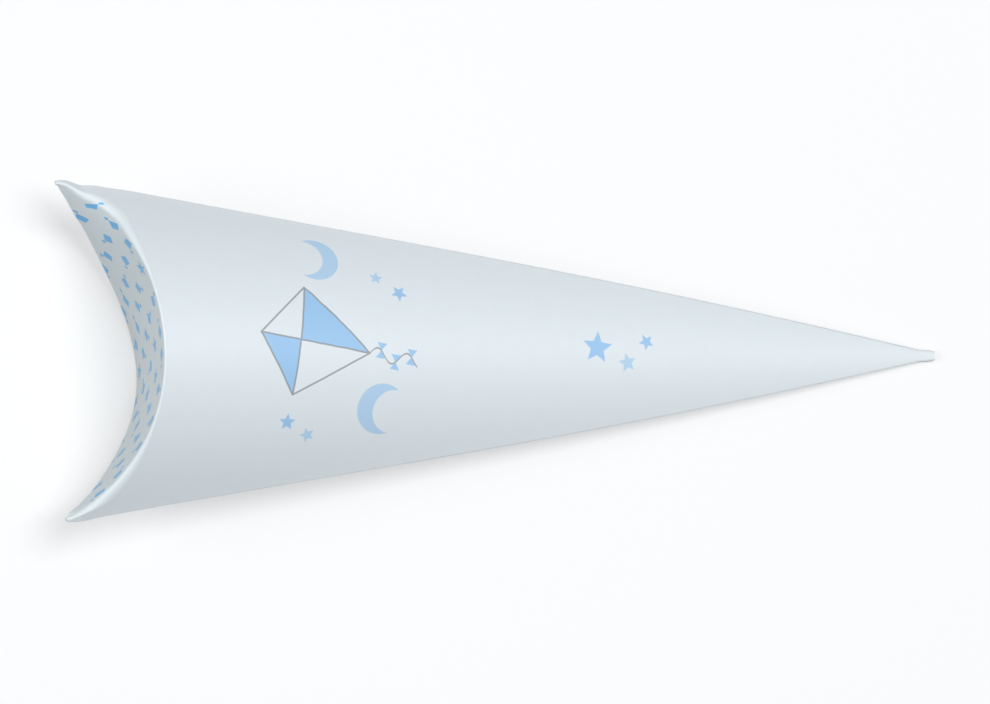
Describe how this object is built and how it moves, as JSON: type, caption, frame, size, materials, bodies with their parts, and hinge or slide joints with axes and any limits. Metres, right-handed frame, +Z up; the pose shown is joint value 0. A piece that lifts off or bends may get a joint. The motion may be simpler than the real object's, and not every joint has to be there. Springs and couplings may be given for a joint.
{
  "type": "paper favor cone",
  "caption": "Pointed favor cone folded from printed card: bowed panels glued along an edge, closed at the wide mouth by curved end flaps that swing outward.",
  "frame": {"origin": "on the surface the cone lies on, under the middle of its box", "axes": "+X along the cone from the mouth to the tip, +Z up out of the front panel, the glued seam on the -Y edge and the side fold on the +Y edge"},
  "size_m": [0.1842, 0.0672, 0.0306],
  "materials": {
    "panel_card": "smooth pale card with a faint satin sheen",
    "flap_card": "smooth card printed with small motifs",
    "bare_card": "unprinted matt card",
    "adhesive": "dried adhesive"
  },
  "bodies": {
    "pouch": {"front_panel": "panel_card", "back_panel": "panel_card", "glue_tab": "bare_card", "seam_glue": "adhesive"},
    "outer_flap": {"outer_flap": "flap_card"},
    "inner_flap": {"inner_flap": "flap_card"}
  },
  "joints": [
    {"name": "outer_flap_hinge", "type": "hinge", "parent": "pouch", "child": "outer_flap", "pos_m": [-0.07366, 0, 0.0307], "axis": [0, 1, 0], "range_deg": [0, 90]},
    {"name": "inner_flap_hinge", "type": "hinge", "parent": "pouch", "child": "inner_flap", "pos_m": [-0.07566, 0, 0.0001], "axis": [0, -1, 0], "range_deg": [0, 90]}
  ],
  "couplings": [
    {"joint": "inner_flap_hinge", "follows": "outer_flap_hinge", "ratio": 0.75}
  ]
}
